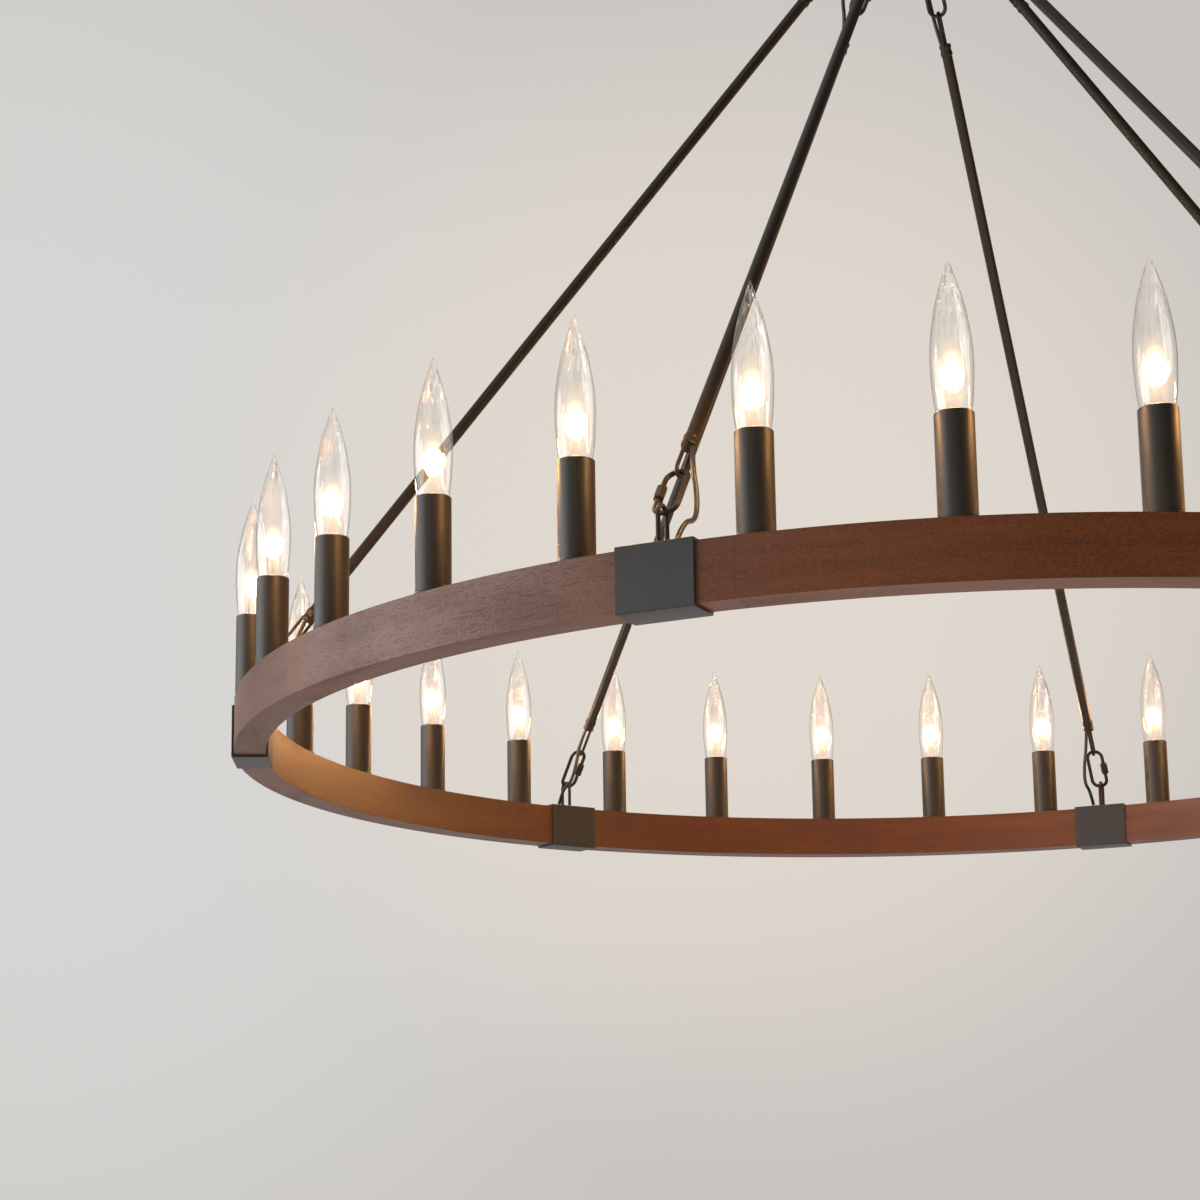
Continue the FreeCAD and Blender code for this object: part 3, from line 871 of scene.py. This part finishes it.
def add_lamp_lights():
    """The light that each lit lamp throws on the ring and on its neighbours."""
    for i, place in enumerate(candles):
        data = bpy.data.lights.new("lamp_light_%d" % (i + 1), "POINT")
        data.energy = lamp_watts
        data.color = (1.0, 0.50, 0.17)
        data.shadow_soft_size = lamp_light_radius
        light = linked(data.name, data)
        light.location = place @ Vector((0, 0, glow_height))
        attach(light, BODY)


# ---------------------------------------------------------------- hub, chain and canopy
def add_collar(name, node, body, place):
    """Bored collar with a round-wire loop over it, made standing on the origin."""
    bm = bmesh.new()
    r, h, bore, shoulder = collar_radius, collar_height, collar_bore, collar_shoulder
    profile = rounded([
        (bore, 0), (r, 0), (r, 0.45 * h), (shoulder, 0.6 * h), (shoulder, h), (bore, h)], collar_edge)
    lathe(bm, profile, place, sides=40, closed=True)
    half = shoulder - chain_wire
    foot = Vector((0, 0, collar_leg_foot_share * h))
    path = [foot - right * half]
    path += arc(Vector((0, 0, h + collar_leg)), right, up, half, 180, 0)
    path.append(foot + right * half)
    tube(bm, path, chain_wire, tangent, place, sides=16)
    piece(name, bm, black, body=body, replaces=[node])


def add_hub():
    r, low, top, wall = hub_radius, hub_underside, hub_top, housing_wall
    cup = rounded([
        (r - wall, low), (r, low), (r, top - hub_shoulder), (r - hub_shoulder, top), (stem_hole, top),
        (stem_hole, top - wall), (r - hub_shoulder - wall / 2, top - wall),
        (r - wall, top - hub_shoulder - wall / 2)], hub_edge, steps=5)
    bm = bmesh.new()
    lathe(bm, cup, to_ring, sides=96, closed=True)
    piece("hub_cup", bm, black_housing, replaces=["hub_housing"])
    knob = rounded(sized(finial_outline, finial_radius, -finial_height, foot=low), finial_edge, steps=4)
    bm = bmesh.new()
    lathe(bm, knob, to_ring, sides=40)
    piece("hub_finial_knob", bm, black_housing, replaces=["hub_finial"])
    on_top = to_ring @ Matrix.Translation((0, 0, top))
    add_collar("hub_collar_loop", "hub_top_loop", BODY, on_top)


def add_chain():
    """Three links, each turned a quarter from the last, as long as their CAD nodes."""
    half = chain_link_width / 2 - chain_wire
    for i in range(chain_count):
        node = "chain_link_%d" % (i + 1)
        low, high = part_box(node)
        side, normal = (tangent, -right) if i % 2 == 0 else (right, tangent)
        top = Vector((0, 0, high[2] - chain_wire - half))
        foot = Vector((0, 0, low[2] + chain_wire + half))
        path = arc(top, side, up, half, 180, 0) + arc(foot, side, up, half, 0, -180)
        bm = bmesh.new()
        tube(bm, path, chain_wire, normal, unmoved, sides=18, closed=True)
        piece("oval_%s" % node, bm, black, body=node, replaces=[node])


def add_canopy():
    r, depth, rim, floor, wall = canopy_radius, canopy_depth, canopy_rim, canopy_floor_radius, housing_wall
    dish = rounded([
        (r - wall, 0), (r, 0), (r, -rim), (floor, -depth), (stem_hole, -depth),
        (stem_hole, -depth + wall), (floor - wall / 2, -depth + wall), (r - wall, -rim + wall / 2)],
        canopy_edge, steps=5)
    bm = bmesh.new()
    lathe(bm, dish, unmoved, sides=96, closed=True)
    piece("canopy_dish", bm, black_housing, body="ceiling_fitting", replaces=["canopy"])
    below = -depth - ring_nut_height
    nut = rounded([
        (ring_nut_bore, -depth), (ring_nut_radius, -depth), (ring_nut_radius, below),
        (ring_nut_bore, below)], ring_nut_edge)
    bm = bmesh.new()
    lathe(bm, nut, unmoved, sides=40, closed=True)
    piece("canopy_knurled_nut", bm, black_housing, body="ceiling_fitting",
          replaces=["canopy_ring_nut"])
    flipped = Matrix.Translation((0, 0, below)) @ Matrix.Rotation(pi, 4, "X")
    add_collar("canopy_collar_loop", "canopy_loop", "ceiling_fitting", flipped)


repaint_nodes()
add_clamps()
add_screws()
add_strip_screws()
add_loops()
add_grommets()
add_quick_links()
add_link_nuts()
add_rod_eyes()
add_rods()
add_lamp_wires()
add_sleeves()
add_bulbs()
add_bulb_insides()
add_glows()
add_lamp_lights()
add_hub()
add_chain()
add_canopy()

# ---------------------------------------------------------------- floor, light and background
# Area lights: name, (x, y, height above the ring), size, watts, colour
window_white, fill_orange, lamp_orange = (0.96, 0.98, 1.0), (1.0, 0.55, 0.22), (1.0, 0.50, 0.18)
studio_lights = [
    ("window_left", (-3.8, 0.35, 0.4), 2.8, 76, window_white),
    ("window_front", (-3.7, -1.5, 0.4), 2.0, 44, window_white),
    ("fill_right", (3.2, -0.9, 0.2), 2.2, 7, fill_orange),
    ("warm_back_right", (3.1, 2.4, 0.25), 1.8, 18, lamp_orange),
    ("bounce_below", (0.2, -0.9, -1.25), 2.4, 16, (1.0, 0.97, 0.94)),
    ("front_soft", (-1.2, -2.4, 2.8), 2.6, 14, (1.0, 0.99, 0.98))]


def add_world():
    """Even studio light, and a pale wall that camera, glossy and transmission rays see, with painted lamp
    light on it round and inside the ring, and a painted dark side that glossy rays alone see.
    """
    n = Nodes(bpy.data.worlds.new("studio"), "OutputWorld")
    ray = n.add("TexCoord").outputs["Generated"]

    def toward(direction, start, end):
        """0 to 1 as the cosine between a ray and a direction goes from start to end."""
        aim = n.add("VectorMath", ray, Vector(direction).normalized(), _operation="DOT_PRODUCT")
        return n.smooth_step(aim.outputs["Value"], start, end)

    # Painted light: a paler patch round the ring and a warm patch inside it stand in for the lamps' glow
    # falling on the wall.
    wall_grey, painted_wall_light, painted_lamp_glow = (0.580, 0.555, 0.530), (0.672, 0.667, 0.655), (0.750, 0.690, 0.622)
    wall = n.mix(toward((-0.19, 0.95, 0.24), 0.925, 1.0), wall_grey, painted_wall_light)
    wall = n.mix(toward((0.14, 0.95, 0.26), 0.962, 1.0), wall, painted_lamp_glow)
    # Painted reflection: glossy rays towards +X, a little towards -Y, see a dark wall that the camera
    # doesn't see. This darkens reflections on that side.
    glossy = n.add("LightPath").outputs["Is Glossy Ray"]
    painted_dark_reflection = n.times(glossy, toward((1.0, -0.35, 0), -0.10, 0.40))
    wall = n.mix(painted_dark_reflection, wall, (0.100, 0.090, 0.080))
    light = n.add("Background", Color=(0.95, 0.97, 1.0), Strength=0.36)
    shown = n.add("Background", Color=wall)
    seen = n.background_rays()
    bpy.context.scene.world = n.finish(n.add("MixShader", seen, light.outputs[0], shown.outputs[0]))


def floor_material(radius):
    """Pale matt floor that fades out towards its rim, so that it has no edge against the wall."""
    n = new_material("pale_floor")
    place = n.place()
    tone = n.mix(n.noise(place, 1.5), (0.60, 0.57, 0.54), (0.66, 0.63, 0.60))
    matt = n.add("BsdfPrincipled", Base_Color=tone, Roughness=0.85)
    pale = n.add("Emission", Color=(0.36, 0.345, 0.33), Strength=n.background_rays())
    lit = n.add("AddShader", matt.outputs[0], pale.outputs[0])
    away = n.add("VectorMath", place, _operation="LENGTH").outputs["Value"]
    fade = n.smooth_step(away, radius * 0.35, radius * 0.95)
    gone = n.add("BsdfTransparent")
    return n.finish(n.add("MixShader", fade, lit.outputs[0], gone.outputs[0]))


def add_floor():
    radius, depth = 9.0, 4.0
    bm = bmesh.new()
    bmesh.ops.create_circle(bm, cap_ends=True, segments=96, radius=radius)
    mesh = bpy.data.meshes.new("floor")
    bm.to_mesh(mesh)
    bm.free()
    floor = linked("floor", mesh)
    floor.location = (0, 0, -depth)
    mesh.materials.append(floor_material(radius))


def add_lights():
    target = Vector((0, 0, ring_top))
    for name, place, size, watts, colour in studio_lights:
        data = bpy.data.lights.new(name, "AREA")
        data.shape = "DISK"
        data.size = size
        data.energy = watts
        data.color = colour
        lamp = linked(name, data)
        lamp.visible_camera = False
        lamp.location = target + Vector(place)
        lamp.rotation_euler = (-Vector(place)).to_track_quat("-Z", "Y").to_euler()


def add_camera():
    """Camera fitted to the photograph, with the lens given for a 36 mm wide sensor."""
    from_axis_x, from_axis_y, below_ring = -0.5470, -2.3014, 0.4725
    yaw, pitch, roll = radians(-4.4018), radians(9.874), radians(0.7948)
    data = bpy.data.cameras.new("camera")
    data.sensor_width = 36.0
    data.lens = 66.6264
    data.shift_y = 0.15
    data.clip_end = 60
    camera = linked("camera", data)
    turn = Matrix.Rotation(yaw, 4, "Z") @ Matrix.Rotation(pitch, 4, "X") @ Matrix.Rotation(roll, 4, "Y")
    look_along_y = Matrix.Rotation(pi / 2, 4, "X")
    place = Matrix.Translation((from_axis_x, from_axis_y, ring_top - below_ring))
    camera.matrix_world = place @ turn @ look_along_y
    bpy.context.scene.camera = camera


add_world()
add_floor()
add_lights()
add_camera()
bpy.context.scene.view_settings.view_transform = "Standard"
